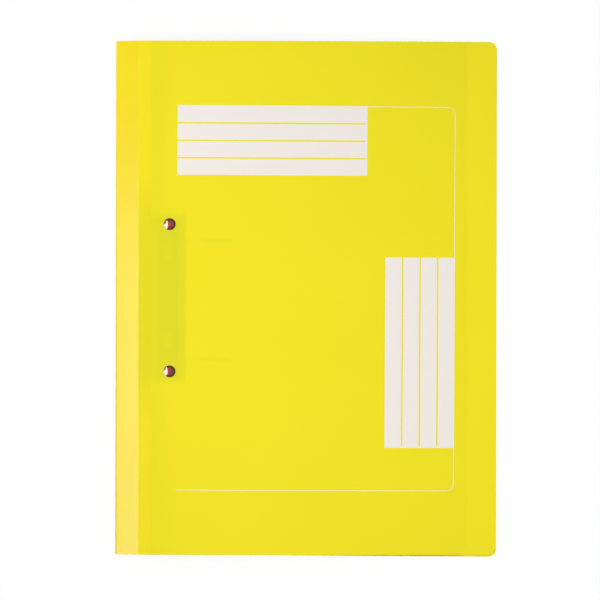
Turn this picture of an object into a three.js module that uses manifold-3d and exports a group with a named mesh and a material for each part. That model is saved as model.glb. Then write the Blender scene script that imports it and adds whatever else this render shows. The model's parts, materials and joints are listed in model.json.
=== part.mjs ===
// A spring action file for punched papers, lying closed on its back cover.
// One sheet of translucent polypropylene, creased into a back cover, a spine, a narrow hinge strip and a
// front cover. Riveted inside the front cover is a steel mechanism: a base plate, a bent wire with two
// prongs and a torsion spring that closes the prongs on the papers.
// Millimetres. X runs from the fold to the fore edge, Y up the page and Z up through the closed file.
import * as THREE from 'three';
import { mergeVertices } from 'three/addons/utils/BufferGeometryUtils.js';
import Module from 'manifold-3d';

const wasm = await Module();
wasm.setup();

// Sheet and its creases
const sheetThickness = 0.8;
const sheetHeight = 348;
const coverWidth = 258;
const spineWidth = 19;
const stripWidth = 9;
const stripTilt = THREE.MathUtils.degToRad(12);
const cornerRadius = 5.4;
const creaseGap = 0.4;
const grooveDepth = 0.25;
const grooveReach = 0.9;

// Curve of the closed front cover
const flatWidth = 44.6;
const foreStripWidth = 20;
const foreStripGap = 0.3;
const coverSteps = 20;

// Base plate, with one hemmed long edge
const plateLength = 112;
const plateWidth = 19;
const plateThickness = 0.8;
const plateInset = 4.2;
const plateCornerRadius = 3;
const hemWidth = 5.4;
const hemGap = 0.3;

// Knuckles, cut from the plate and curled round the axle
const knuckleSpacing = 59;
const knuckleWidth = 9.4;
const knuckleWrap = THREE.MathUtils.degToRad(230);
const knuckleBendRadius = 0.9;
const shearGap = 0.3;

// Prong wire
const wireRadius = 1.15;
const wireClearance = 0.1;
const prongSpacing = 80;
const prongReach = 39.5;
const wireBendRadius = 3.5;
const axleInset = 10.8;
const axleDrop = 2.9;
const bowDepth = 6.9;
const bowReach = 17;
const bowStartAngle = THREE.MathUtils.degToRad(50);
const tipAngle = THREE.MathUtils.degToRad(50);
const backClearance = 1.2;

// Torsion spring
const springWireRadius = 0.55;
const springCoilRadius = 2.1;
const springLength = 45;
const springTurns = 28;
const springLegInset = 2.5;
const springHookReach = 2.7;
const springLegBend = 1.2;

// Rivets
const rivetEndInset = 6.2;
const rivetInset = 12.2;
const rivetHeadRadius = 4.05;
const rivetDomeHeight = 1.6;
const rivetRimHeight = 0.3;
const rivetShankRadius = 1.6;
const rivetHoleClearance = 0.25;
const rivetClinchRadius = 2.7;
const rivetClinchDepth = 0.85;
const rivetBoreRadius = 1;
const rivetBoreDepth = 1;

// Clearance between pieces that only rest on each other
const restGap = 0.3;

// Heights that follow from the mechanism: the closed file is as thick as what it holds
const backInner = sheetThickness;
const bowHeight = backInner + backClearance + wireRadius;
const axleHeight = bowHeight + bowDepth;
const plateBottom = axleHeight + axleDrop;
const plateTop = plateBottom + plateThickness;
const coverInner = plateTop;
const coverOuter = coverInner + sheetThickness;

// Creases, each on the inner face of the sheet where two panels meet
const stripRise = stripWidth * Math.sin(stripTilt);
const spineTilt = Math.asin((coverInner - stripRise - backInner) / spineWidth);
const backCrease = new THREE.Vector2(0, backInner);
const spineCrease = new THREE.Vector2(Math.cos(spineTilt), Math.sin(spineTilt))
  .multiplyScalar(spineWidth)
  .add(backCrease);
const stripCrease = new THREE.Vector2(Math.cos(stripTilt), Math.sin(stripTilt))
  .multiplyScalar(stripWidth)
  .add(spineCrease);

// Places that follow from the gutter crease, the fore edge and the ends of the plate
const curveStart = stripCrease.x + flatWidth;
const foreBend = coverWidth - foreStripWidth;
const foreInner = backInner + foreStripGap;
const plateLeft = stripCrease.x + plateInset;
const plateRight = plateLeft + plateWidth;
const axleX = plateLeft + axleInset;
const rivetX = stripCrease.x + rivetInset;
const rivetSpacing = plateLength - 2 * rivetEndInset;
const prongTipX = axleX + prongReach;

const arcSteps = 10;
const halfTurn = Math.PI;
const quarterTurn = Math.PI / 2;

const plastic = new THREE.MeshStandardMaterial({ color: 0xf4e02e, roughness: 0.42, metalness: 0 });
const nickel = new THREE.MeshStandardMaterial({ color: 0xc9c7c0, roughness: 0.28, metalness: 1 });
const springSteel = new THREE.MeshStandardMaterial({ color: 0xb4b4b0, roughness: 0.34, metalness: 1 });
const copper = new THREE.MeshStandardMaterial({ color: 0xa3573a, roughness: 0.2, metalness: 1 });

// Joining and cutting of closed meshes
function toSolid(geometry) {
  const bare = geometry.clone();
  bare.deleteAttribute('normal');
  bare.deleteAttribute('uv');
  const merged = mergeVertices(bare, 1e-5);
  const corners = merged.index.array;
  const triangles = [];
  for (let i = 0; i < corners.length; i += 3) {
    const [a, b, c] = [corners[i], corners[i + 1], corners[i + 2]];
    if (a !== b && b !== c && c !== a) {
      triangles.push(a, b, c);
    }
  }
  const vertProperties = new Float32Array(merged.attributes.position.array);
  const triVerts = new Uint32Array(triangles);
  return new wasm.Manifold(new wasm.Mesh({ numProp: 3, vertProperties, triVerts }));
}

function toGeometry(solid) {
  const { vertProperties, triVerts } = solid.getMesh();
  const geometry = new THREE.BufferGeometry();
  geometry.setAttribute('position', new THREE.BufferAttribute(vertProperties, 3));
  geometry.setIndex(new THREE.BufferAttribute(triVerts, 1));
  geometry.computeVertexNormals();
  return geometry;
}

// Extrusions of a section drawn in X and Z, and of a plan drawn in X and Y
function extrudeAlongY(section, length, middle = 0) {
  const geometry = new THREE.ExtrudeGeometry(section, {
    depth: length,
    bevelEnabled: false,
    curveSegments: arcSteps,
  });
  geometry.rotateX(quarterTurn);
  geometry.translate(0, middle + length / 2, 0);
  return geometry;
}

function extrudeUp(plan, bottom, top) {
  const geometry = new THREE.ExtrudeGeometry(plan, {
    depth: top - bottom,
    bevelEnabled: false,
    curveSegments: arcSteps,
  });
  geometry.translate(0, 0, bottom);
  return geometry;
}

function drillAlongZ(x, y, radius, bottom, top) {
  const hole = new THREE.CylinderGeometry(radius, radius, top - bottom, 4 * arcSteps);
  hole.rotateX(quarterTurn);
  hole.translate(x, y, (bottom + top) / 2);
  return toSolid(hole);
}

// Section of a creased sheet: its inner face as given, its outer face one thickness away, and half of
// the pressed crease groove on the outer face of each end that meets a crease
function sheetSection(inner, grooveAtStart, grooveAtEnd) {
  const last = inner.length - 1;
  const directions = inner.slice(1).map((point, i) => point.clone().sub(inner[i]).normalize());
  const lift = (point, direction, distance) => (
    new THREE.Vector2(point.x - direction.y * distance, point.y + direction.x * distance)
  );
  const outer = inner.map((point, i) => {
    const before = directions[Math.max(i - 1, 0)];
    const after = directions[Math.min(i, last - 1)];
    const along = before.clone().add(after).normalize();
    return lift(point, along, sheetThickness / along.dot(before));
  });
  const land = sheetThickness - grooveDepth;
  if (grooveAtStart) {
    const ramp = outer[0].clone().addScaledVector(directions[0], grooveReach);
    outer.splice(0, 1, lift(inner[0], directions[0], land), ramp);
  }
  if (grooveAtEnd) {
    const ramp = outer[outer.length - 1].clone().addScaledVector(directions[last - 1], -grooveReach);
    outer.splice(outer.length - 1, 1, ramp, lift(inner[last], directions[last - 1], land));
  }
  return new THREE.Shape([...inner, ...outer.reverse()]);
}

// Outline of a cover seen from above, with the two corners at the fore edge rounded
function coverPlan() {
  const half = sheetHeight / 2;
  const plan = new THREE.Shape();
  plan.moveTo(-coverWidth, -half);
  plan.lineTo(coverWidth - cornerRadius, -half);
  plan.absarc(coverWidth - cornerRadius, -half + cornerRadius, cornerRadius, -quarterTurn, 0, false);
  plan.absarc(coverWidth - cornerRadius, half - cornerRadius, cornerRadius, 0, quarterTurn, false);
  plan.lineTo(-coverWidth, half);
  plan.closePath();
  return plan;
}

// A cover: its section run along the fold, trimmed to the plan
function coverSolid(section) {
  const sheet = toSolid(extrudeAlongY(section, sheetHeight));
  const trim = toSolid(extrudeUp(coverPlan(), -coverOuter, 2 * coverOuter));
  return sheet.intersect(trim);
}

function makeBackCover() {
  const halfGap = creaseGap / 2;
  const section = sheetSection(
    [new THREE.Vector2(coverWidth, backInner), new THREE.Vector2(halfGap, backInner)],
    false,
    true,
  );
  return toGeometry(coverSolid(section));
}

// A flat panel between two creases, drawn from its first crease along X
function makePanel(width) {
  const halfGap = creaseGap / 2;
  const section = sheetSection(
    [new THREE.Vector2(halfGap, 0), new THREE.Vector2(width - halfGap, 0)],
    true,
    true,
  );
  return extrudeAlongY(section, sheetHeight);
}

// Height of the front cover's inner face: flat over the mechanism, then a falling parabola
function coverInnerAt(x) {
  const share = THREE.MathUtils.clamp((x - curveStart) / (foreBend - curveStart), 0, 1);
  return coverInner - (coverInner - foreInner) * share * share;
}

function makeFrontCover() {
  const inner = [new THREE.Vector2(stripCrease.x + creaseGap / 2, coverInner)];
  for (let step = 0; step <= coverSteps; step += 1) {
    const x = THREE.MathUtils.lerp(curveStart, foreBend, step / coverSteps);
    inner.push(new THREE.Vector2(x, coverInnerAt(x)));
  }
  inner.push(new THREE.Vector2(coverWidth, foreInner));
  let cover = coverSolid(sheetSection(inner, true, false));
  for (const y of [-rivetSpacing / 2, rivetSpacing / 2]) {
    cover = cover.subtract(rivetHole(y));
  }
  return toGeometry(cover);
}

// Clearance hole for a rivet shank, long enough for the cover and the plate
function rivetHole(y) {
  const radius = rivetShankRadius + rivetHoleClearance;
  return drillAlongZ(rivetX, y, radius, plateBottom - sheetThickness, coverOuter + sheetThickness);
}

// Plate section: flat sheet metal whose fore edge is folded under into an open hem
function plateSection() {
  const hemRadius = plateThickness + hemGap / 2;
  const hemX = plateRight - hemRadius;
  const hemZ = plateTop - hemRadius;
  const hemEnd = plateRight - hemWidth;
  const section = new THREE.Shape();
  section.moveTo(plateLeft, plateTop);
  section.lineTo(hemX, plateTop);
  section.absarc(hemX, hemZ, hemRadius, quarterTurn, -quarterTurn, true);
  section.lineTo(hemEnd, hemZ - hemRadius);
  section.lineTo(hemEnd, hemZ - hemRadius + plateThickness);
  section.absarc(hemX, hemZ, hemGap / 2, -quarterTurn, quarterTurn, false);
  section.lineTo(plateLeft, plateBottom);
  section.closePath();
  return section;
}

function platePlan() {
  const half = plateLength / 2;
  const r = plateCornerRadius;
  const plan = new THREE.Shape();
  plan.absarc(plateLeft + r, -half + r, r, halfTurn, halfTurn + quarterTurn, false);
  plan.absarc(plateRight - r, -half + r, r, -quarterTurn, 0, false);
  plan.absarc(plateRight - r, half - r, r, 0, quarterTurn, false);
  plan.absarc(plateLeft + r, half - r, r, quarterTurn, halfTurn, false);
  plan.closePath();
  return plan;
}

// Knuckle: a tongue that leaves the plate at its root, bends down and curls round the axle.
// Its window in the plate is as long as the tongue is when flat.
const knuckleRadius = wireRadius + wireClearance + plateThickness / 2;
const knuckleLegX = axleX + knuckleRadius;
const knuckleRootX = knuckleLegX + knuckleBendRadius;
const plateMiddle = plateTop - plateThickness / 2;
const knuckleLeg = plateMiddle - knuckleBendRadius - axleHeight;
const knuckleFlatLength = quarterTurn * knuckleBendRadius + knuckleLeg + knuckleWrap * knuckleRadius;

function knuckleSection() {
  const half = plateThickness / 2;
  const bendZ = plateMiddle - knuckleBendRadius;
  const rootEnd = knuckleRootX + plateThickness;
  const section = new THREE.Shape();
  section.moveTo(rootEnd, plateTop);
  section.lineTo(knuckleRootX, plateTop);
  section.absarc(knuckleRootX, bendZ, knuckleBendRadius + half, quarterTurn, halfTurn, false);
  section.lineTo(knuckleLegX - half, axleHeight);
  section.absarc(axleX, axleHeight, knuckleRadius - half, 0, -knuckleWrap, true);
  section.absarc(axleX, axleHeight, knuckleRadius + half, -knuckleWrap, 0, false);
  section.lineTo(knuckleLegX + half, bendZ);
  section.absarc(knuckleRootX, bendZ, knuckleBendRadius - half, halfTurn, quarterTurn, true);
  section.lineTo(rootEnd, plateBottom);
  section.closePath();
  return section;
}

function makeBasePlate() {
  const blank = toSolid(extrudeAlongY(plateSection(), plateLength));
  let plate = blank.intersect(toSolid(extrudeUp(platePlan(), backInner, coverOuter)));
  const windowWidth = knuckleWidth + 2 * shearGap;
  for (const side of [-1, 1]) {
    const y = side * knuckleSpacing / 2;
    const opening = new THREE.BoxGeometry(knuckleFlatLength, windowWidth, 4 * plateThickness);
    opening.translate(knuckleRootX - knuckleFlatLength / 2, y, plateTop);
    const knuckle = toSolid(extrudeAlongY(knuckleSection(), knuckleWidth, y));
    plate = plate.subtract(toSolid(opening)).add(knuckle);
    plate = plate.subtract(rivetHole(side * rivetSpacing / 2));
  }
  return toGeometry(plate);
}

// Centre line of one prong in X and Z: away from the axle, round the lowest point of the bow and up to
// the inside of the cover
const bowDirection = new THREE.Vector2(Math.cos(bowStartAngle), -Math.sin(bowStartAngle));
const bowStart = new THREE.Vector2(axleX, axleHeight).addScaledVector(bowDirection, wireBendRadius);
const tipHeight = coverInnerAt(prongTipX) - restGap - wireRadius;

function prongCurves(y) {
  const bowX = axleX + bowReach;
  const startControlX = bowStart.x + (bowStart.y - bowHeight) / Math.tan(bowStartAngle);
  const tipControlX = prongTipX - (tipHeight - bowHeight) / Math.tan(tipAngle);
  const at = (x, z) => new THREE.Vector3(x, y, z);
  const bow = at(bowX, bowHeight);
  return [
    new THREE.QuadraticBezierCurve3(at(bowStart.x, bowStart.y), at(startControlX, bowHeight), bow),
    new THREE.QuadraticBezierCurve3(bow, at(tipControlX, bowHeight), at(prongTipX, tipHeight)),
  ];
}

function reversed(curve) {
  return new THREE.QuadraticBezierCurve3(curve.v2, curve.v1, curve.v0);
}

// Bend between the axle and a prong on the side given by side
function wireBend(side) {
  const y = side * prongSpacing / 2;
  return new THREE.QuadraticBezierCurve3(
    new THREE.Vector3(axleX, y - side * wireBendRadius, axleHeight),
    new THREE.Vector3(axleX, y, axleHeight),
    new THREE.Vector3(bowStart.x, y, bowStart.y),
  );
}

function makeProngWire() {
  const half = prongSpacing / 2;
  const path = new THREE.CurvePath();
  const [lowStart, lowTip] = prongCurves(-half);
  const [highStart, highTip] = prongCurves(half);
  const straight = new THREE.LineCurve3(wireBend(-1).v0, wireBend(1).v0);
  path.curves.push(reversed(lowTip), reversed(lowStart), reversed(wireBend(-1)), straight);
  path.curves.push(wireBend(1), highStart, highTip);
  const section = new THREE.Shape();
  section.absarc(0, 0, wireRadius, 0, 2 * halfTurn, false);
  const wire = new THREE.ExtrudeGeometry(section, { steps: 130, extrudePath: path, curveSegments: 6 });
  let solid = toSolid(wire);
  for (const y of [-half, half]) {
    const tip = new THREE.SphereGeometry(wireRadius, 12, 8);
    tip.translate(prongTipX, y, tipHeight);
    solid = solid.add(toSolid(tip));
  }
  return toGeometry(solid);
}

// Centre line of the spring wire. The first leg bears on the plate beside the fold, the coil runs round
// the axle between the knuckles, and the second leg runs along under one prong to press it shut.
function springLine() {
  const axle = new THREE.Vector2(axleX, axleHeight);
  const bearing = new THREE.Vector2(plateLeft + springLegInset, plateBottom - restGap - springWireRadius);
  const prongSide = new THREE.Vector2(bowDirection.y, -bowDirection.x);
  const hook = bowStart.clone().addScaledVector(prongSide, wireRadius + restGap + springWireRadius);
  const tangentTurn = (point) => Math.acos(springCoilRadius / point.distanceTo(axle));
  const bearingOffset = bearing.clone().sub(axle);
  const hookOffset = hook.clone().sub(axle);
  const startAngle = bearingOffset.angle() + tangentTurn(bearing);
  const endAngle = hookOffset.angle() - tangentTurn(hook) + 2 * halfTurn * springTurns;
  const half = springLength / 2;
  const steps = Math.round((endAngle - startAngle) / (quarterTurn / 2));
  const coil = [];
  for (let step = 0; step <= steps; step += 1) {
    const share = step / steps;
    const angle = THREE.MathUtils.lerp(startAngle, endAngle, share);
    coil.push(new THREE.Vector3(
      axleX + springCoilRadius * Math.cos(angle),
      THREE.MathUtils.lerp(-half, half, share),
      axleHeight + springCoilRadius * Math.sin(angle),
    ));
  }
  const corner = new THREE.Vector3(hook.x, half, hook.y);
  const coilEnd = coil[coil.length - 1];
  const bendStart = corner.clone().lerp(coilEnd, springLegBend / corner.distanceTo(coilEnd));
  const bendEnd = corner.clone().add(new THREE.Vector3(0, springLegBend, 0));
  const legEnd = new THREE.Vector3(hook.x, prongSpacing / 2 + springHookReach, hook.y);
  const bend = new THREE.QuadraticBezierCurve3(bendStart, corner, bendEnd).getPoints(4);
  return [new THREE.Vector3(bearing.x, -half, bearing.y), ...coil, ...bend, legEnd];
}

// Tube round a line of points, with its section carried along without twisting and both ends closed
function tubeRound(points, radius, sides) {
  const positions = [];
  const index = [];
  const last = points.length - 1;
  const across = new THREE.Vector3(0, 1, 0);
  points.forEach((point, i) => {
    const along = points[Math.min(i + 1, last)].clone().sub(points[Math.max(i - 1, 0)]).normalize();
    across.addScaledVector(along, -across.dot(along)).normalize();
    const third = along.clone().cross(across);
    for (let side = 0; side < sides; side += 1) {
      const angle = 2 * halfTurn * side / sides;
      const corner = point.clone()
        .addScaledVector(across, radius * Math.cos(angle))
        .addScaledVector(third, radius * Math.sin(angle));
      positions.push(corner.x, corner.y, corner.z);
    }
  });
  for (let i = 0; i < last; i += 1) {
    for (let side = 0; side < sides; side += 1) {
      const next = (side + 1) % sides;
      const [a, b] = [i * sides + side, i * sides + next];
      const [c, d] = [a + sides, b + sides];
      index.push(a, b, d, a, d, c);
    }
  }
  for (let side = 1; side < sides - 1; side += 1) {
    index.push(0, side + 1, side);
    index.push(last * sides, last * sides + side, last * sides + side + 1);
  }
  const geometry = new THREE.BufferGeometry();
  geometry.setAttribute('position', new THREE.Float32BufferAttribute(positions, 3));
  geometry.setIndex(index);
  geometry.computeVertexNormals();
  return geometry;
}

// Least distance between stretches of the spring wire that are more than half a turn apart
function leastGap(points, radius) {
  const apart = 5;
  let least = Infinity;
  for (let i = 0; i < points.length; i += 1) {
    for (let j = i + apart; j < points.length; j += 1) {
      least = Math.min(least, points[i].distanceTo(points[j]));
    }
  }
  return least - 2 * radius;
}

function makeTorsionSpring() {
  const line = springLine();
  console.log(`torsion spring: least gap to itself ${leastGap(line, springWireRadius).toFixed(2)} mm`);
  return tubeRound(line, springWireRadius, 5);
}

// Semi tubular rivet: a domed head outside, a solid shank, and a bored end rolled over under the plate
function makeRivet() {
  const domeRadius = (rivetHeadRadius ** 2 + rivetDomeHeight ** 2) / (2 * rivetDomeHeight);
  const domeTurn = Math.asin(rivetHeadRadius / domeRadius);
  const profile = [];
  for (let step = 0; step <= 8; step += 1) {
    const turn = domeTurn * step / 8;
    const rise = domeRadius * (Math.cos(turn) - Math.cos(domeTurn));
    profile.push(new THREE.Vector2(domeRadius * Math.sin(turn), coverOuter + rivetRimHeight + rise));
  }
  profile.push(new THREE.Vector2(rivetHeadRadius, coverOuter));
  profile.push(new THREE.Vector2(rivetShankRadius, coverOuter));
  profile.push(new THREE.Vector2(rivetShankRadius, plateBottom));
  const rollX = (rivetClinchRadius + rivetBoreRadius) / 2;
  const rollWidth = (rivetClinchRadius - rivetBoreRadius) / 2;
  for (let step = 0; step <= 8; step += 1) {
    const turn = halfTurn * step / 8;
    const x = rollX + rollWidth * Math.cos(turn);
    profile.push(new THREE.Vector2(x, plateBottom - rivetClinchDepth * Math.sin(turn)));
  }
  const boreEnd = plateBottom + rivetBoreDepth;
  profile.push(new THREE.Vector2(rivetBoreRadius, boreEnd - rivetBoreRadius / 2));
  profile.push(new THREE.Vector2(0, boreEnd));
  profile[0].x = 0;
  const rivet = new THREE.LatheGeometry(profile.reverse(), 24);
  rivet.rotateX(quarterTurn);
  return rivet;
}

function named(name, geometry, material) {
  const mesh = new THREE.Mesh(geometry, material);
  mesh.name = name;
  return mesh;
}

// A panel's own group stands at its crease and leans with the panel
function leaning(crease, tilt, mesh) {
  const group = new THREE.Group();
  group.position.set(crease.x, 0, crease.y);
  group.rotation.y = -tilt;
  group.add(mesh);
  return group;
}

const file = new THREE.Group();
file.add(named('back_cover', makeBackCover(), plastic));
file.add(leaning(backCrease, spineTilt, named('spine_panel', makePanel(spineWidth), plastic)));
file.add(leaning(spineCrease, stripTilt, named('hinge_strip', makePanel(stripWidth), plastic)));
file.add(named('front_cover', makeFrontCover(), plastic));
file.add(named('base_plate', makeBasePlate(), nickel));
file.add(named('prong_wire', makeProngWire(), nickel));
file.add(named('torsion_spring', makeTorsionSpring(), springSteel));
for (const [name, y] of [['rivet_top', rivetSpacing / 2], ['rivet_bottom', -rivetSpacing / 2]]) {
  const rivet = named(name, makeRivet(), copper);
  rivet.position.set(rivetX, y, 0);
  file.add(rivet);
}

// The origin is under the middle of the closed file
const bounds = new THREE.Box3().setFromObject(file, true);
file.position.x = -(bounds.min.x + bounds.max.x) / 2;

export default file;
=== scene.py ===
# A spring action file of creased yellow polypropylene, lying closed and seen from above.
# Sizes are millimetres. X is measured from the fold of the closed file, Y up the page, Z up from the table.
# The camera and the lights alone are placed in the frame's own metres, from its middle.
import json
import math

import bmesh
import bpy
from mathutils import Matrix, Vector


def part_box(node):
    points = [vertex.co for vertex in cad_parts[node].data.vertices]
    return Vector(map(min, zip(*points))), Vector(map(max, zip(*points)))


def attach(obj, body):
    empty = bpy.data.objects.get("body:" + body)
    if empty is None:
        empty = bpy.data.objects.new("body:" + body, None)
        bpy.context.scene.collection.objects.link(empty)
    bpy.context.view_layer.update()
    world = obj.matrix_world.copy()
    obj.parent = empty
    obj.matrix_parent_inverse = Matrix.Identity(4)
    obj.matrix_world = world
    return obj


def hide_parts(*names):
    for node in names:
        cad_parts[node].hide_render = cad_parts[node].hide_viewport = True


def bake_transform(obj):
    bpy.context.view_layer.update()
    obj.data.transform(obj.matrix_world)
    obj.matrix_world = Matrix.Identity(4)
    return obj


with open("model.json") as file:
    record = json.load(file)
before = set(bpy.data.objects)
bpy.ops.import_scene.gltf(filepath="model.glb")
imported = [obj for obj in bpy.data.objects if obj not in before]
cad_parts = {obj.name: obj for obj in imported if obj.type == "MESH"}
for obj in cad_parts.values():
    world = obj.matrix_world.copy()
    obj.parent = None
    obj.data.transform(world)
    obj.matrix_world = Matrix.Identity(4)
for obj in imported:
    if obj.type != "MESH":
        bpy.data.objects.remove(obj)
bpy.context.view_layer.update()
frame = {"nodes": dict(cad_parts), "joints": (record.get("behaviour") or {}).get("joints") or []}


# Camera: a long lens 4.5 m above the file, looking straight down as the photograph does. The file lies a
# touch off centre and off square in the photograph, so the camera is moved and turned by that.
CAMERA_PLACE = (-0.00425, -0.00135, 4.5245)
CAMERA_TURN = math.radians(0.12)

camera_data = bpy.data.cameras.new("camera")
camera_data.lens = 400
camera_data.sensor_width = 36
camera_data.clip_end = 40
camera = bpy.data.objects.new("camera", camera_data)
camera.location = CAMERA_PLACE
camera.rotation_euler = (0, 0, CAMERA_TURN)
bpy.context.scene.collection.objects.link(camera)
bpy.context.scene.camera = camera
bpy.context.scene.view_settings.view_transform = "Standard"


# Light: a dim even studio, two soft lights over and beside the file that no reflection catches, and two
# white cards close on the left, which only reflections show: the low one gives the fold its sheen, and the
# high one, kept for the rivets alone, widens their highlight.
STUDIO_LEVEL = 0.25

studio = bpy.data.worlds.new("studio")
studio.use_nodes = True
studio.node_tree.nodes["Background"].inputs["Color"].default_value = (1, 1, 1, 1)
studio.node_tree.nodes["Background"].inputs["Strength"].default_value = STUDIO_LEVEL
bpy.context.scene.world = studio


def hang_softbox(name, place, aim, size, watts, in_reflections):
    """A soft light that either lights surfaces or shows in their reflections."""
    lamp_data = bpy.data.lights.new(name, "AREA")
    lamp_data.shape = "RECTANGLE"
    lamp_data.size, lamp_data.size_y = size
    lamp_data.energy = watts
    lamp_data.cycles.use_multiple_importance_sampling = in_reflections
    lamp = bpy.data.objects.new(name, lamp_data)
    lamp.location = place
    lamp.rotation_euler = (Vector(aim) - Vector(place)).to_track_quat("-Z", "Y").to_euler()
    lamp.visible_camera = False
    lamp.visible_glossy = in_reflections
    lamp.visible_diffuse = not in_reflections
    bpy.context.scene.collection.objects.link(lamp)
    return lamp


hang_softbox("top_light", (0.04, -0.06, 0.75), (0.04, -0.06, 0), (1.4, 0.45), 6.25, False)
hang_softbox("left_light", (-0.45, 0.36, 0.2), (-0.12, 0.12, 0), (0.4, 0.3), 0.75, False)
hang_softbox("low_card", (-0.55, -0.28, 0.225), (-0.1, -0.28, 0), (0.7, 0.27), 2.7, True)
high_card = hang_softbox("high_card", (-0.45, -0.02, 0.37), (-0.09, -0.02, 0), (0.9, 0.13), 2.2, True)
lit_by_high_card = bpy.data.collections.new("lit_by_high_card")
high_card.light_linking.receiver_collection = lit_by_high_card


# Table and wall: a white floor that curves up into a wall far off on every side. The camera and
# reflections see plain white there, and one part in ten is painted board that keeps the file's shadow.
MM = 0.001
BOARD_SHARE = 0.1
BOARD_WHITE = (0.97, 0.97, 0.97, 1)
FLOOR_DROP = 0.1
FLOOR_LINE = [(0, 0), (2000, 0), (8000, 0), (8600, 80), (8900, 300), (9000, 800), (9000, 1600)]


class Signal:
    """A value, colour or direction on its way through the nodes of a material."""

    def __init__(self, tree, socket=None):
        self.tree = tree
        self.socket = socket

    def node(self, kind, settings=None, sockets=None, output=0):
        """Adds a node: first its settings, then the values or links of its sockets."""
        made = self.tree.nodes.new(kind)
        for name, value in (settings or {}).items():
            setattr(made, name, value)
        for name, value in (sockets or {}).items():
            if isinstance(value, Signal):
                self.tree.links.new(value.socket, made.inputs[name])
            else:
                made.inputs[name].default_value = value
        return Signal(self.tree, made.outputs[output]) if made.outputs else None

    def maths(self, operation, first, second=0, clamped=False):
        settings = {"operation": operation, "use_clamp": clamped}
        return self.node("ShaderNodeMath", settings, {0: first, 1: second})

    def __add__(self, other):
        return self.maths("ADD", self, other)

    def __sub__(self, other):
        return self.maths("SUBTRACT", self, other)

    def __rsub__(self, other):
        return self.maths("SUBTRACT", other, self)

    def __mul__(self, other):
        return self.maths("MULTIPLY", self, other)

    __radd__ = __add__
    __rmul__ = __mul__

    def __abs__(self):
        return self.maths("ABSOLUTE", self)

    def above(self, level, softness):
        """Rises from 0 to 1 as this value passes the level."""
        return self.maths("MULTIPLY", self - (level - softness / 2), 1 / softness, clamped=True)

    def within(self, low, high, softness):
        return self.above(low, softness) * (1 - self.above(high, softness))

    def colour(self, low, high):
        """The colour low where this value is 0, and high where it is 1."""
        return self.node("ShaderNodeMix", {"data_type": "RGBA"}, {0: self, 6: low, 7: high}, 2)

    def stretched(self, x, y, z):
        return self.node("ShaderNodeVectorMath", {"operation": "MULTIPLY"}, {0: self, 1: (x, y, z)})

    def noise(self, scale, detail):
        """Cloudy values round 0.5, from a place, with so many clouds to the metre."""
        return self.node("ShaderNodeTexNoise", {}, {"Vector": self, "Scale": scale, "Detail": detail})


def start_finish(name):
    """A new material: the start of its nodes, and the place on the surface in metres."""
    finish = bpy.data.materials.new(name)
    finish.use_nodes = True
    finish.node_tree.nodes.clear()
    start = Signal(finish.node_tree)
    return finish, start, start.node("ShaderNodeTexCoord", output="Object")


floor_finish, start = start_finish("white_board")[:2]
seen = [
    start.node("ShaderNodeLightPath", output=f"Is {ray} Ray") for ray in ("Camera", "Glossy", "Transmission")
]
board = start.node("ShaderNodeBsdfDiffuse", {}, {"Color": BOARD_WHITE})
glow = start.node("ShaderNodeEmission", {}, {"Color": (1, 1, 1, 1), "Strength": 1.0})
glow_share = (seen[0] + seen[1] + seen[2]) * (1 - BOARD_SHARE)
white = start.node("ShaderNodeMixShader", {}, {0: glow_share, 1: board, 2: glow})
start.node("ShaderNodeOutputMaterial", {}, {"Surface": white})


def turned_shape(profile, centre, steps):
    """A shape turned round the upright line through centre, from points (radius, height)."""
    shape = bmesh.new()
    points = [shape.verts.new(Vector((r * MM, 0, z * MM)) + centre) for r, z in profile]
    edges = [shape.edges.new(pair) for pair in zip(points, points[1:])]
    whole_turn = {"cent": centre, "axis": (0, 0, 1), "angle": 2 * math.pi, "steps": steps}
    bmesh.ops.spin(shape, geom=points + edges, use_merge=True, **whole_turn)
    bmesh.ops.remove_doubles(shape, verts=shape.verts, dist=1e-7)
    return shape


def add_object(name, shape, finish):
    bmesh.ops.recalc_face_normals(shape, faces=shape.faces)
    mesh = bpy.data.meshes.new(name)
    shape.to_mesh(mesh)
    shape.free()
    mesh.shade_smooth()
    mesh.materials.append(finish)
    made = bpy.data.objects.new(name, mesh)
    bpy.context.scene.collection.objects.link(made)
    return made


floor_shape = turned_shape(FLOOR_LINE, Vector((0, 0, -FLOOR_DROP * MM)), 96)
floor = add_object("studio_floor", floor_shape, floor_finish)


# Back cover: the lower leaf of one extruded polypropylene sheet, 0.8 mm thick, yellow all through.
# It is die cut with two rounded corners, and its fold edge is pressed thin where the sheet creases.
# The sheet isn't folded quite square, so this leaf shows a hair past the front cover at one corner.
JOINT_PLACES = {joint["name"]: joint["pos_m"] for joint in frame["joints"]}
FOLD_X = JOINT_PLACES["back_crease"][0]


def from_fold(point):
    """A place in the frame as millimetres across from the fold, along it, and up."""
    x, y, z = point
    return (x - FOLD_X) / MM, y / MM, z / MM


def at(x, y, z):
    """A place in millimetres from the fold, in the frame's metres."""
    return Vector((FOLD_X + x * MM, y * MM, z * MM))


COVER_WIDTH, SHEET_HALF, THICKNESS = from_fold(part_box("back_cover")[1])
CORNER = 5.4
CREASE_GAP = 0.4
FOLD_PRESS = (0.3, 1.5)
COVER_SKEW = 0.005
EVEN_PART = (8, 244)
CUT_EDGE = 0.05
SHARP_ANGLE = 50


def paint(red, green, blue):
    """A colour as a paint chart gives it, in steps of 255, as the shader's own numbers."""
    shares = [step / 255 for step in (red, green, blue)]
    return tuple(s / 12.92 if s <= 0.04045 else ((s + 0.055) / 1.055) ** 2.4 for s in shares) + (1,)


def relief(height, strength):
    """The bump of a surface whose finest texture stands two hundredths of a millimetre high."""
    return height.node("ShaderNodeBump", {}, {"Strength": strength, "Distance": 0.02 * MM, "Height": height})


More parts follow.
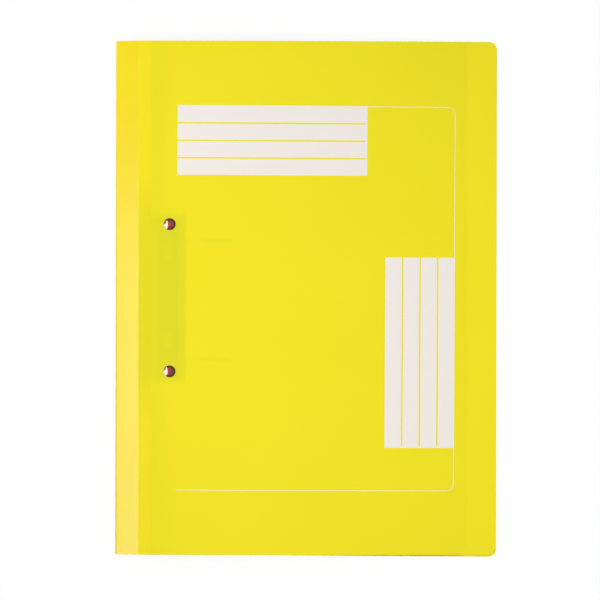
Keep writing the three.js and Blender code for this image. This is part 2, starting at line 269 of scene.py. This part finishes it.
def finish_surface(start, sockets):
    """Ends a material with the surface that these values and links describe."""
    surface = start.node("ShaderNodeBsdfPrincipled", {}, sockets)
    start.node("ShaderNodeOutputMaterial", {}, {"Surface": surface})


LIGHT_YELLOW = paint(243, 229, 33)
DEEP_YELLOW = paint(241, 226, 29)
PLASTIC_IOR = 1.45
SATIN = 0.27
RUBBED_SATIN = 0.1
CLOUD_RELIEF = 6


def yellow_finish(name, light, deep, shade=None, shaded=None):
    """Satin polypropylene: slightly cloudy pigment, a fine embossed grain, and rub marks along the page."""
    finish, start, place = start_finish(name)
    cloud = place.noise(14, 3)
    grain = place.noise(2300, 1)
    rubs = place.stretched(1, 0.05, 1).noise(420, 3)
    colour = cloud.above(0.5, 0.5).colour(light, deep)
    # Where the shade mask is 1 the colour turns to the shaded one: painted shade.
    if shade:
        colour = shade(place).colour(colour, shaded)
    sockets = {
        "Base Color": colour,
        "Roughness": SATIN + rubs * RUBBED_SATIN,
        "IOR": PLASTIC_IOR,
        "Normal": relief(grain + cloud * CLOUD_RELIEF, 0.05),
    }
    finish_surface(start, sockets)
    return finish


def spread(low, high, steps):
    """Numbers at even steps from low to high, with both ends."""
    return [low + (high - low) * step / steps for step in range(steps + 1)]


def sheet_shape(inner, outer, half_length, skew=0):
    """A sheet between two lines of section points, run along the fold as far as half_length(x)."""
    shape = bmesh.new()
    shares = spread(-1, 1, 12)
    faces = [
        [[shape.verts.new(at(x, share * half_length(x) - skew * x, z)) for share in shares] for x, z in line]
        for line in (inner, outer)
    ]
    last, end = len(inner) - 1, len(shares) - 1
    for i in range(last):
        for j in range(end):
            for face in faces:
                shape.faces.new((face[i][j], face[i + 1][j], face[i + 1][j + 1], face[i][j + 1]))
    for i in (0, last):
        for j in range(end):
            shape.faces.new((faces[0][i][j], faces[0][i][j + 1], faces[1][i][j + 1], faces[1][i][j]))
    for j in (0, end):
        for i in range(last):
            shape.faces.new((faces[0][i][j], faces[0][i + 1][j], faces[1][i + 1][j], faces[1][i][j]))
    return shape


def soften_edges(piece, width, angle=SHARP_ANGLE):
    """Takes the sharpness off cut edges, and keeps broad faces flat in their shading."""
    edge = piece.modifiers.new("cut_edge", "BEVEL")
    edge.width = width * MM
    edge.segments = 2
    edge.limit_method = "ANGLE"
    edge.angle_limit = math.radians(angle)
    piece.modifiers.new("even_faces", "WEIGHTED_NORMAL").keep_sharp = True


def pressed_thickness(distance, press):
    """Thickness of the sheet at this distance from a crease, with the depth and reach of its press."""
    depth, reach = press
    share = min(max((distance - CREASE_GAP / 2) / reach, 0), 1)
    return THICKNESS - depth * (1 - share) ** 2


def corner_half_length(x):
    """Half the height of a cover at x, less where its corner is rounded."""
    into = max(x - (COVER_WIDTH - CORNER), 0)
    return SHEET_HALF - CORNER + math.sqrt(max(CORNER**2 - into**2, 0))


groove = [CREASE_GAP / 2 + FOLD_PRESS[1] * share**1.5 for share in spread(0, 1, 9)]
corner_columns = [COVER_WIDTH - CORNER + CORNER * math.sin(angle) for angle in spread(0, math.pi / 2, 6)]
columns = groove + spread(*EVEN_PART, 40) + corner_columns
yellow = yellow_finish("yellow_plastic", LIGHT_YELLOW, DEEP_YELLOW)
back_shape = sheet_shape(
    [(x, THICKNESS) for x in columns],
    [(x, THICKNESS - pressed_thickness(x, FOLD_PRESS)) for x in columns],
    corner_half_length,
    COVER_SKEW,
)
back_cover = add_object("back_cover_sheet", back_shape, yellow)
soften_edges(back_cover, CUT_EDGE)
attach(back_cover, "back")
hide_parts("back_cover")


# Spine and hinge strip: the two narrow panels of the same sheet between its three creases. The spine
# leans in over the back cover at rest, and its outside is painted a deeper, warmer yellow as painted shade.
# The strip carries on to the front cover less steeply; its yellow is painted a little deeper than the
# cover's to offset how the light falls on its tilt, with painted shade where the steel plate is beside it.
BACK_CREASE, SPINE_CREASE, GUTTER_CREASE = [
    from_fold(JOINT_PLACES[crease])[::2] for crease in ("back_crease", "spine_crease", "gutter_crease")
]
PLATE_LOW, PLATE_HIGH = [from_fold(corner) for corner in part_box("base_plate")]
PLATE_LEFT = PLATE_LOW[0]
PLATE_RIGHT, PLATE_HALF, COVER_INNER = PLATE_HIGH
PRESS_REACH = 0.7
PANEL_END = 2.5
SPINE_SHADE_YELLOW = paint(243, 218, 7)
STRIP_TILT_SHADE_YELLOWS = (paint(243, 226, 28), paint(240, 222, 24))
BESIDE_STEEL_SHADE_YELLOW = paint(230, 217, 26)


def panel_between(one, two):
    """The width and tilt of the panel between two creases."""
    across, up = two[0] - one[0], two[1] - one[1]
    return math.hypot(across, up), math.atan2(up, across)


SPINE_WIDTH, SPINE_TILT = panel_between(BACK_CREASE, SPINE_CREASE)
STRIP_WIDTH, STRIP_TILT = panel_between(SPINE_CREASE, GUTTER_CREASE)


def lean(crease, tilt, points):
    """Section points of a panel, drawn from its crease, where the leaning panel has them."""
    turn = Matrix.Rotation(tilt, 2)
    return [tuple(turn @ Vector(point) + Vector(crease)) for point in points]


def sheet_place(place, middle=0):
    """Millimetres across the closed file from its fold, along it from its middle either way, and up."""
    x, y, z = [place.node("ShaderNodeSeparateXYZ", {}, {"Vector": place}, axis) * (1 / MM) for axis in "XYZ"]
    return x - FOLD_X / MM, abs(y - middle), z


def outside(place, crease, tilt):
    """1 on the outside of a leaning panel and 0 on its inside."""
    x, y, z = sheet_place(place)
    return ((z - crease[1]) * math.cos(tilt) - (x - crease[0]) * math.sin(tilt)).above(0.1, 0.3)


def outside_of_spine(place):
    return outside(place, BACK_CREASE, SPINE_TILT)


def shade_beside_plate(place):
    """Painted shade: 1 on the outside of the strip beside the steel plate, fading out past the plate's ends.
    """
    return (1 - sheet_place(place)[1].above(PLATE_HALF + 10, 36)) * outside(place, SPINE_CREASE, STRIP_TILT)


# The spine's outside is painted a deeper, warmer yellow: painted shade, not the sheet's own colour.
spine_yellow = yellow_finish(
    "yellow_plastic_spine", LIGHT_YELLOW, DEEP_YELLOW, outside_of_spine, SPINE_SHADE_YELLOW
)
# The strip's yellow is painted a little deeper than the cover's, and darker again beside the plate: painted
# shade.
strip_yellow = yellow_finish("yellow_plastic_strip", *STRIP_TILT_SHADE_YELLOWS, shade_beside_plate, BESIDE_STEEL_SHADE_YELLOW)


def crease_press(turn):
    """The depth and reach of a press at a crease, so that the outside turns there without a step."""
    return PRESS_REACH * math.tan(turn / 2) / 2, PRESS_REACH


def add_panel(name, node, body, crease, tilt, width, presses, finish):
    """A leaning panel, pressed thin on its outside where it meets its two creases."""
    stations = groove + spread(PANEL_END, width - PANEL_END, 6) + [width - s for s in reversed(groove)]
    thicknesses = [
        min(pressed_thickness(s, presses[0]), pressed_thickness(width - s, presses[1])) for s in stations
    ]
    inner = lean(crease, tilt, [(s, 0) for s in stations])
    outer = lean(crease, tilt, list(zip(stations, thicknesses)))
    panel = add_object(name, sheet_shape(inner, outer, lambda x: SHEET_HALF), finish)
    soften_edges(panel, CUT_EDGE)
    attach(panel, body)
    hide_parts(node)


SPINE_PRESS = crease_press(SPINE_TILT - STRIP_TILT)
GUTTER_PRESS = crease_press(STRIP_TILT)
add_panel(
    "spine_sheet",
    "spine_panel",
    "spine",
    BACK_CREASE,
    SPINE_TILT,
    SPINE_WIDTH,
    (FOLD_PRESS, SPINE_PRESS),
    spine_yellow,
)
add_panel(
    "hinge_strip_sheet",
    "hinge_strip",
    "strip",
    SPINE_CREASE,
    STRIP_TILT,
    STRIP_WIDTH,
    (SPINE_PRESS, GUTTER_PRESS),
    strip_yellow,
)


# Front cover: the upper leaf. It is flat over the mechanism, falls in a long curve to a pressed bend, and
# rests on the back cover along a flat strip. The metal behind is painted faintly onto the plastic as shade,
# also beside the plate and near the gutter crease, with the prongs slid a little down the page on their
# axle.
REST_GAP = 0.3
CURVE_START = GUTTER_CREASE[0] + 44.6
FORE_BEND = COVER_WIDTH - 20
FORE_INNER = THICKNESS + REST_GAP
FORE_SLOPE = 2 * (COVER_INNER - FORE_INNER) / (FORE_BEND - CURVE_START)
BEND_REACH = 1.2
COVER_OUTER = COVER_INNER + THICKNESS
HEM_LEFT = PLATE_RIGHT - 5.4
WINDOW = (PLATE_RIGHT - 15.2, PLATE_RIGHT - 9.5)
WINDOW_Y = (24.7, 34.3)
PRONG_Y = 40
PRONG_SLACK = -1.3
PRONG_LINE = (PRONG_Y - 1.3, PRONG_Y + 1.3)
PRONG_SEEN = 31
RIVET_LOW, RIVET_HIGH = [from_fold(corner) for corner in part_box("rivet_top")]
RIVET_X, RIVET_Y = [(low + high) / 2 for low, high in zip(RIVET_LOW[:2], RIVET_HIGH[:2])]
RIVET_HOLE = 1.85
SHADED_YELLOW = paint(224, 218, 34)
SHADE_BLUR = 2.6
END_BLUR = 6
BESIDE_SHADE = 0.8
GUTTER_SHADE = 0.35
WINDOW_LIGHT = 0.18
HEM_LIGHT = 0.2
HEM_LINE_SHADE = 0.12
PRONG_SHADE = 0.16
TIP_SHADE = 0.24


def cover_inner(x):
    """Height of the inside of the closed front cover at x."""
    if x > FORE_BEND - BEND_REACH:
        return FORE_INNER + FORE_SLOPE * max(FORE_BEND + BEND_REACH - x, 0) ** 2 / (4 * BEND_REACH)
    share = max((x - CURVE_START) / (FORE_BEND - CURVE_START), 0)
    return COVER_INNER - (COVER_INNER - FORE_INNER) * share**2


def cover_outer(x):
    """Height of the outside of the closed front cover at x."""
    step = 0.05
    slope = (cover_inner(x + step) - cover_inner(x - step)) / (2 * step)
    return cover_inner(x) + pressed_thickness(x - GUTTER_CREASE[0], GUTTER_PRESS) * math.hypot(1, slope)


def mechanism_shade(place):
    """Painted shade of the steel on the cover's outside: 1 over the plate, less at its hem, windows and
    prongs.
    """
    x, y, z = sheet_place(place)
    prong_y = sheet_place(place, PRONG_SLACK)[1]
    span = 1 - y.above(PLATE_HALF, END_BLUR)
    plate = x.within(PLATE_LEFT, PLATE_RIGHT - 0.5, SHADE_BLUR) * span
    beside = (1 - x.above(PLATE_LEFT, SHADE_BLUR)) * span * BESIDE_SHADE
    gutter = (1 - x.above(PLATE_LEFT + 5, 18)) * (1 - span) * GUTTER_SHADE
    window = x.within(*WINDOW, 2) * y.within(*WINDOW_Y, 2.4) * WINDOW_LIGHT
    hem = x.above(HEM_LEFT, 0.8) * HEM_LIGHT - x.within(HEM_LEFT - 1.1, HEM_LEFT, 0.6) * HEM_LINE_SHADE
    prong = x.within(PLATE_RIGHT, PLATE_RIGHT + PRONG_SEEN, 3) * prong_y.within(*PRONG_LINE, 2.4)
    near_tip = PRONG_SHADE + x.above(PLATE_RIGHT + 15, 16) * TIP_SHADE
    shade = plate * (1 - window) * (1 - hem) + beside + gutter + prong * near_tip
    return shade * z.above(COVER_INNER + THICKNESS / 2, 0.2)


cover_yellow = yellow_finish(
    "yellow_plastic_over_steel", LIGHT_YELLOW, DEEP_YELLOW, mechanism_shade, SHADED_YELLOW
)
start_x = GUTTER_CREASE[0]
columns = [start_x + s for s in groove] + spread(start_x + 4, FORE_BEND - 3, 48)
columns += spread(FORE_BEND - BEND_REACH, FORE_BEND + BEND_REACH, 6)
columns += spread(FORE_BEND + 3, COVER_WIDTH - 8, 3) + corner_columns
front_shape = sheet_shape(
    [(x, cover_inner(x)) for x in columns], [(x, cover_outer(x)) for x in columns], corner_half_length
)
front_cover = add_object("front_cover_sheet", front_shape, cover_yellow)
punch_line = [(0, 8), (RIVET_HOLE, 8), (RIVET_HOLE, 20), (0, 20)]
for side in (-1, 1):
    punch = add_object("punch", turned_shape(punch_line, at(RIVET_X, side * RIVET_Y, 0), 32), yellow)
    hole = front_cover.modifiers.new("rivet_hole", "BOOLEAN")
    hole.operation = "DIFFERENCE"
    hole.object = punch
    depsgraph = bpy.context.evaluated_depsgraph_get()
    pierced = bpy.data.meshes.new_from_object(front_cover.evaluated_get(depsgraph))
    front_cover.modifiers.clear()
    front_cover.data = pierced
    bpy.data.objects.remove(punch)
soften_edges(front_cover, CUT_EDGE)
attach(front_cover, "front")
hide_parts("front_cover")


# Creases: three living hinges where the hot rule pressed the sheet thin, from the outside. The plastic
# there bends instead of turning on a pin; each web here is built once, in its rest shape.
WEB_INNER = 0.15
WEB_LAP = 0.08
WEB_PROUD = 0.01
WEB_ROOT = (0.7, 0.4)
INNER_SWEEP = 0.6
FOLD_NOSE = 1.5


def turned(centre, radius, angle):
    return Vector((centre[0] + radius * math.cos(angle), centre[1] + radius * math.sin(angle)))


def bent(one, pull, two, steps):
    """Points along a bend from one to two, pulled towards the corner, without the first."""
    one, pull, two = Vector(one), Vector(pull), Vector(two)
    return [one * (1 - s) ** 2 + pull * (2 * s * (1 - s)) + two * s * s for s in spread(0, 1, steps)[1:]]


def add_crease(name, crease, first, last, press, finish, roundness=1):
    """A crease between two panels, whose outsides face the directions first and last."""
    middle, half = (first + last) / 2, (first - last) / 2
    depth, reach = press
    radius = math.hypot(CREASE_GAP / 2, THICKNESS - depth)
    spread_angle = half + math.atan(CREASE_GAP / 2 / (THICKNESS - depth))
    steepness = math.tan(half - math.atan(2 * depth / reach))
    ends = [turned(crease, radius, middle + side * spread_angle) for side in (1, -1)]
    nose_reach = radius * (math.cos(spread_angle) + math.sin(spread_angle) * steepness)
    nose = turned(crease, nose_reach * roundness, middle)
    laps = [end + (end - nose).normalized() * WEB_LAP for end in ends]
    root_share, root_turn = WEB_ROOT
    roots = [
        turned(crease, radius * root_share, middle + side * (spread_angle + root_turn)) for side in (1, -1)
    ]
    proud = turned((0, 0), WEB_PROUD, middle)
    seen_line = [laps[0], ends[0]] + bent(ends[0], nose, ends[1], 12) + [laps[1]]
    outer = [roots[0]] + [point + proud for point in seen_line] + [roots[1]]
    turns = spread(middle + half + INNER_SWEEP, middle - half - INNER_SWEEP, len(outer) - 1)
    inner = [turned(crease, WEB_INNER, angle) for angle in turns]
    web = add_object(name, sheet_shape(inner, outer, lambda x: SHEET_HALF), finish)
    web.data.set_sharp_from_angle(angle=math.radians(SHARP_ANGLE))
    at(ends[0].x, 0, ends[0].y)
    at(ends[1].x, 0, ends[1].y)
    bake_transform(web)


back_out, cover_out = math.pi * 1.5, math.pi / 2
spine_out, strip_out = cover_out + SPINE_TILT, cover_out + STRIP_TILT
add_crease(
    "back_crease_web",
    BACK_CREASE,
    back_out,
    spine_out,
    FOLD_PRESS,
    spine_yellow,
    FOLD_NOSE,
)
add_crease(
    "spine_crease_web", SPINE_CREASE, spine_out, strip_out, SPINE_PRESS, strip_yellow
)
add_crease(
    "gutter_crease_web", GUTTER_CREASE, strip_out, cover_out, GUTTER_PRESS, cover_yellow
)


# Printed fields: white ink screen printed on the front cover, four lines across for a title and four down
# the side for a label, in a frame that is one thin line with rounded corners. It is a little off square.
INK_HEIGHT = 0.03
INK_DEPTH = 0.02
MIDDLE_X = -FOLD_X / MM
TITLE_X = (MIDDLE_X - 87.65, MIDDLE_X + 40.8)
TITLE_Y = (82.95, 130.2)
LABEL_X = (MIDDLE_X + 53.45, MIDDLE_X + 100.65)
LABEL_Y = (-101.2, 27.8)
TITLE_RULES = (94.5, 106.33, 118.14)
LABEL_RULES = (MIDDLE_X + 65.16, MIDDLE_X + 77.07, MIDDLE_X + 89.05)
RULE_GAP = 1.12
LINE_END = 1.3
FRAME_LINE = 0.38
FRAME_X = MIDDLE_X + 100.4
FRAME_Y = (-130.3, 129.75)
FRAME_CORNER = 4.7
PRINT_TURN = Matrix.Rotation(math.radians(-0.18), 2)
INK_WHITE = (paint(243, 236, 230), paint(240, 233, 226))

ink, start, place = start_finish("white_ink")
mottle = place.noise(900, 3)
sockets = {
    "Base Color": mottle.above(0.5, 0.6).colour(*INK_WHITE),
    "Roughness": 0.5 + mottle * 0.1,
    "Normal": relief(mottle, 0.1),
}
finish_surface(start, sockets)


def add_ink(name, patches):
    """A layer of ink over the cover, from flat four cornered patches that share their corners."""
    shape = bmesh.new()
    corners = {}

    def corner(point, height):
        key = (round(point[0], 3), round(point[1], 3), height)
        if key not in corners:
            x, y = PRINT_TURN @ Vector((point[0] - MIDDLE_X, point[1]))
            corners[key] = shape.verts.new(at(MIDDLE_X + x, y, cover_outer(MIDDLE_X + x) + height))
        return corners[key]

    borders = set()
    for patch in patches:
        for height in (INK_HEIGHT, -INK_DEPTH):
            shape.faces.new([corner(point, height) for point in patch])
        for one, two in zip(patch, patch[1:] + patch[:1]):
            edge = frozenset((round(x, 3), round(y, 3)) for x, y in (one, two))
            borders ^= {edge}
    for edge in sorted(map(sorted, borders)):
        low = [corner(point, -INK_DEPTH) for point in edge]
        high = [corner(point, INK_HEIGHT) for point in edge]
        shape.faces.new(low + high[::-1])
    layer = add_object(name, shape, ink)
    layer.modifiers.new("even_faces", "WEIGHTED_NORMAL").keep_sharp = True
    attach(layer, "front")


def cells(x_cuts, y_cuts, printed):
    """The printed cells of a grid, as patches."""
    return [
        [(x0, y0), (x1, y0), (x1, y1), (x0, y1)]
        for x0, x1 in zip(x_cuts, x_cuts[1:])
        for y0, y1 in zip(y_cuts, y_cuts[1:])
        if printed((x0 + x1) / 2, (y0 + y1) / 2)
    ]


def line_cuts(low, rules, high):
    """Where the four printed lines of a field begin and end, on either side of its ruled gaps."""
    return [low] + [rule + side * RULE_GAP / 2 for rule in rules for side in (-1, 1)] + [high]


def in_line(value, cuts):
    """Whether a value lies in one of the printed lines, and not in a gap between them."""
    return sum(value > cut for cut in cuts) % 2 == 1


title_cuts = line_cuts(TITLE_Y[0], TITLE_RULES, TITLE_Y[1])
title_join = TITLE_X[1] - LINE_END
title_columns = spread(TITLE_X[0], title_join, 24) + [TITLE_X[1]]
title_cells = cells(title_columns, title_cuts, lambda x, y: x > title_join or in_line(y, title_cuts))
add_ink("title_print", title_cells)

label_cuts = line_cuts(LABEL_X[0], LABEL_RULES, LABEL_X[1])
label_join = LABEL_Y[0] + LINE_END
label_columns = sorted(label_cuts + [(a + b) / 2 for a, b in zip(label_cuts[::2], label_cuts[1::2])])
label_rows = [LABEL_Y[0]] + spread(label_join, LABEL_Y[1], 6)
label_cells = cells(label_columns, label_rows, lambda x, y: y < label_join or in_line(x, label_cuts))
add_ink("label_print", label_cells)


def add_frame_line(name, start_point, corner_y, end_point):
    """Half of the frame: along the cover, round one corner, and down its side."""
    turn = math.copysign(1, corner_y)
    centre = Vector((FRAME_X - FRAME_CORNER, corner_y - turn * FRAME_CORNER))
    path = [((x, corner_y), (0, turn)) for x in spread(start_point, centre.x, 22)]
    for a in spread(0, math.pi / 2, 8)[1:]:
        out = Vector((math.sin(a), turn * math.cos(a)))
        path.append((tuple(centre + out * FRAME_CORNER), tuple(out)))
    path += [((FRAME_X, y), (1, 0)) for y in spread(centre.y, end_point, 8)[1:]]
    sides = [
        [tuple(Vector(point) + Vector(out) * FRAME_LINE / 2 * side) for side in (-1, 1)]
        for point, out in path
    ]
    add_ink(name, [[a[0], b[0], b[1], a[1]] for a, b in zip(sides, sides[1:])])


add_frame_line("upper_frame_print", TITLE_X[1], FRAME_Y[1], LABEL_Y[1])
add_frame_line("lower_frame_print", TITLE_X[0], FRAME_Y[0], LABEL_Y[0])


# Base plate: 0.8 mm steel strip with a hemmed edge, pierced for the rivets, and with two tongues sheared
# out and curled into the knuckles that hold the prong wire. Blanked, bent, then nickel plated.
PLATE_THICKNESS = 0.8
PLATE_BOTTOM = COVER_INNER - PLATE_THICKNESS
SHEARED_EDGE = (0.12, 40)
PLATE_NICKEL = (paint(214, 209, 199), paint(200, 195, 186))
ROLLED_LINES = (1, 0.04, 1)
LINE_SHINE = 0.16


def metal_finish(name, light, deep, stretch, roughness, metallic):
    """Rolled or drawn metal: cloudy tone, and fine marks in its shine and surface, long on rolled strip."""
    finish, start, place = start_finish(name)
    cloud = place.noise(160, 3)
    lines = place.stretched(*stretch).noise(1500, 3)
    sockets = {
        "Base Color": cloud.above(0.5, 0.5).colour(light, deep),
        "Metallic": metallic,
        "Roughness": roughness + (lines - 0.5) * LINE_SHINE,
        "Normal": relief(lines, 0.2),
    }
    finish_surface(start, sockets)
    return finish


nickel = metal_finish("nickel_plate", *PLATE_NICKEL, ROLLED_LINES, roughness=0.3, metallic=0.62)
base_plate = frame["nodes"]["base_plate"]
base_plate.data.materials.clear()
base_plate.data.materials.append(nickel)
soften_edges(base_plate, *SHEARED_EDGE)


# Prong wire: one length of 2.3 mm spring wire, bent into an axle that turns in the knuckles and two
# bowed prongs whose ground tips press the papers against the cover. Nickel plated.
AXLE_X, AXLE_Z = from_fold(JOINT_PLACES["prong_hinge"])[::2]
WIRE_RADIUS = 1.15
WIRE_BEND = 3.5
BOW_Z = 3.15
BOW_X = AXLE_X + 17
BOW_START_ANGLE = math.radians(50)
TIP_ANGLE = math.radians(50)
TIP_X = AXLE_X + 39.5
TIP_Z = cover_inner(TIP_X) - REST_GAP - WIRE_RADIUS
BOW_START_X = AXLE_X + WIRE_BEND * math.cos(BOW_START_ANGLE)
BOW_START_Z = AXLE_Z - WIRE_BEND * math.sin(BOW_START_ANGLE)
ROUNDED_TIP = spread(0, math.radians(75), 5)[1:]
WIRE_NICKEL = (paint(218, 213, 204), paint(204, 199, 190))
DRAWN_LINES = (0.3, 0.3, 0.3)


def wire_object(name, points, widths, radius, sides, finish):
    """A round wire along points in millimetres, with its width at each as a share of the full one."""
    shape = bmesh.new()
    across = Vector((0, 1, 0.3))
    rings = []
    for i, point in enumerate(points):
        along = (points[min(i + 1, len(points) - 1)] - points[max(i - 1, 0)]).normalized()
        across = (across - along * across.dot(along)).normalized()
        third = along.cross(across)
        turns = [2 * math.pi * k / sides for k in range(sides)]
        ring = [point + (across * math.cos(a) + third * math.sin(a)) * (radius * widths[i]) for a in turns]
        rings.append([shape.verts.new(at(*corner)) for corner in ring])
    for one, two in zip(rings, rings[1:]):
        for k in range(sides):
            shape.faces.new((one[k], one[(k + 1) % sides], two[(k + 1) % sides], two[k]))
    shape.faces.new(rings[0])
    shape.faces.new(rings[-1])
    return add_object(name, shape, finish)


def prong_points(side):
    """One prong from its bend at the axle to its tip."""
    y = side * PRONG_Y
    first_pull = BOW_START_X + (BOW_START_Z - BOW_Z) / math.tan(BOW_START_ANGLE)
    last_pull = TIP_X - (TIP_Z - BOW_Z) / math.tan(TIP_ANGLE)
    leaves_axle = (AXLE_X, y - side * WIRE_BEND, AXLE_Z)
    bow_start, bow_middle = (BOW_START_X, y, BOW_START_Z), (BOW_X, y, BOW_Z)
    points = bent(leaves_axle, (AXLE_X, y, AXLE_Z), bow_start, 10)
    points += bent(bow_start, (first_pull, y, BOW_Z), bow_middle, 16)
    points += bent(bow_middle, (last_pull, y, BOW_Z), (TIP_X, y, TIP_Z), 24)
    direction = (points[-1] - points[-2]).normalized()
    return points + [points[-1] + direction * WIRE_RADIUS * math.sin(angle) for angle in ROUNDED_TIP]


tip_widths = [math.cos(angle) for angle in ROUNDED_TIP]
axle_points = [Vector((AXLE_X, y, AXLE_Z)) for y in spread(-PRONG_Y + WIRE_BEND, PRONG_Y - WIRE_BEND, 12)]
wire_points = list(reversed(prong_points(-1))) + axle_points + prong_points(1)
wire_widths = tip_widths[::-1] + [1] * (len(wire_points) - 2 * len(tip_widths)) + tip_widths
prong_nickel = metal_finish("nickel_wire", *WIRE_NICKEL, DRAWN_LINES, roughness=0.2, metallic=0.75)
prong_wire = wire_object("prong_wire_bent", wire_points, wire_widths, WIRE_RADIUS, 20, prong_nickel)
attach(prong_wire, "prongs")
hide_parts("prong_wire")


# Torsion spring: 1.1 mm spring steel wound round the axle between the knuckles. One leg bears on the
# plate and the other lies under the upper prong, so that the real spring twists when the prongs are raised;
# here it is built in its rest shape only.
SPRING_WIRE = 0.55
SPRING_COIL = 2.1
SPRING_HALF = 22.5
SPRING_TURNS = 28
STEPS_A_TURN = 20
LEG_INSET = 2.5
LEG_BEND = 1.2
HOOK_REACH = 2.7
SPRING_GREY = (paint(176, 176, 174), paint(158, 158, 158))

axle = Vector((AXLE_X, AXLE_Z))
bearing = Vector((PLATE_LEFT + LEG_INSET, PLATE_BOTTOM - REST_GAP - SPRING_WIRE))
under_prong = Vector((-math.sin(BOW_START_ANGLE), -math.cos(BOW_START_ANGLE)))
hook = Vector((BOW_START_X, BOW_START_Z)) + under_prong * (WIRE_RADIUS + REST_GAP + SPRING_WIRE)


def leg_angle(point, side):
    """The angle at which a leg to this point leaves the coil."""
    away = point - axle
    return math.atan2(away.y, away.x) + side * math.acos(SPRING_COIL / away.length)


first_angle = leg_angle(bearing, 1)
last_angle = leg_angle(hook, -1) + 2 * math.pi * (SPRING_TURNS + (1 if leg_angle(hook, -1) < 0 else 0))
coil = []
for share in spread(0, 1, SPRING_TURNS * STEPS_A_TURN):
    angle = first_angle + (last_angle - first_angle) * share
    x, z = axle + SPRING_COIL * Vector((math.cos(angle), math.sin(angle)))
    coil.append(Vector((x, SPRING_HALF * (2 * share - 1), z)))
hook_corner = Vector((hook.x, SPRING_HALF, hook.y))
bend_start = hook_corner + (coil[-1] - hook_corner).normalized() * LEG_BEND
bend_end = hook_corner + Vector((0, LEG_BEND, 0))
spring_points = [Vector((bearing.x, -SPRING_HALF, bearing.y))] + coil + [bend_start]
spring_points += bent(bend_start, hook_corner, bend_end, 6)
spring_points += [Vector((hook.x, y, hook.y)) for y in spread(SPRING_HALF + 5, PRONG_Y + HOOK_REACH, 3)]
steel = metal_finish("spring_steel", *SPRING_GREY, DRAWN_LINES, roughness=0.3, metallic=0.75)
spring = wire_object("torsion_spring_wound", spring_points, [1] * len(spring_points), SPRING_WIRE, 10, steel)
spring_ends = [at(AXLE_X, y, AXLE_Z) for y in (-SPRING_HALF, SPRING_HALF)]
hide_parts("torsion_spring")
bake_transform(spring)


# Rivets: two copper plated steel rivets with domed heads outside, their flanks painted dark as shade.
# Each goes through the cover and the plate, and its bored end is rolled over against the plate.
HEAD_RADIUS = (RIVET_HIGH[0] - RIVET_LOW[0]) / 2
RIM_HEIGHT = 0.3
DOME_HEIGHT = RIVET_HIGH[2] - COVER_OUTER - RIM_HEIGHT
DOME_POWER = 1.6
SHANK_RADIUS = 1.6
CLINCH_RADIUS = 2.7
CLINCH_DEPTH = 0.85
BORE_RADIUS = 1
CROWN_HEIGHT = 1.1
RIVET_EDGE = 0.08
CROWN_COPPER = (paint(208, 88, 38), paint(182, 66, 26))
FLANK_SHADE_COPPER = paint(88, 16, 8)
ROLLED_COPPER = (paint(206, 140, 108), paint(180, 112, 84))

copper, start, place = start_finish("coppered_steel")
tarnish = place.noise(700, 4)
height = sheet_place(place)[2]
crown = tarnish.above(0.5, 0.4).colour(*CROWN_COPPER)
# The flank below the crown is painted dark copper: painted shade round the head's edge.
head = height.above(COVER_OUTER + CROWN_HEIGHT, 0.7).colour(FLANK_SHADE_COPPER, crown)
rolled = tarnish.above(0.5, 0.4).colour(*ROLLED_COPPER)
sockets = {
    "Base Color": height.above(COVER_INNER, 0.7).colour(rolled, head),
    "Metallic": 0.55 + tarnish * 0.2,
    "Roughness": 0.2 + tarnish * 0.12,
    "Coat Weight": 1,
    "Coat Roughness": 0.06,
    "Coat IOR": 2.1,
    "Normal": relief(tarnish, 0.15),
}
finish_surface(start, sockets)

rivet_line = [
    (HEAD_RADIUS * share, COVER_OUTER + RIM_HEIGHT + DOME_HEIGHT * (1 - share**DOME_POWER))
    for share in spread(0, 1, 20)
]
rivet_line += [(HEAD_RADIUS, COVER_OUTER), (SHANK_RADIUS, COVER_OUTER), (SHANK_RADIUS, PLATE_BOTTOM)]
roll_middle, roll_radius = (CLINCH_RADIUS + BORE_RADIUS) / 2, (CLINCH_RADIUS - BORE_RADIUS) / 2
rivet_line += [
    (roll_middle + roll_radius * math.cos(a), PLATE_BOTTOM - CLINCH_DEPTH * math.sin(a))
    for a in spread(0, math.pi, 12)
]
rivet_line += [(BORE_RADIUS, PLATE_BOTTOM + 0.5), (0, PLATE_BOTTOM + 1)]
for side, node in ((1, "rivet_top"), (-1, "rivet_bottom")):
    rivet_shape = turned_shape(rivet_line, at(RIVET_X, side * RIVET_Y, 0), 48)
    rivet = add_object(f"{node}_headed", rivet_shape, copper)
    soften_edges(rivet, RIVET_EDGE)
    lit_by_high_card.objects.link(rivet)
    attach(rivet, "front")
    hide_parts(node)
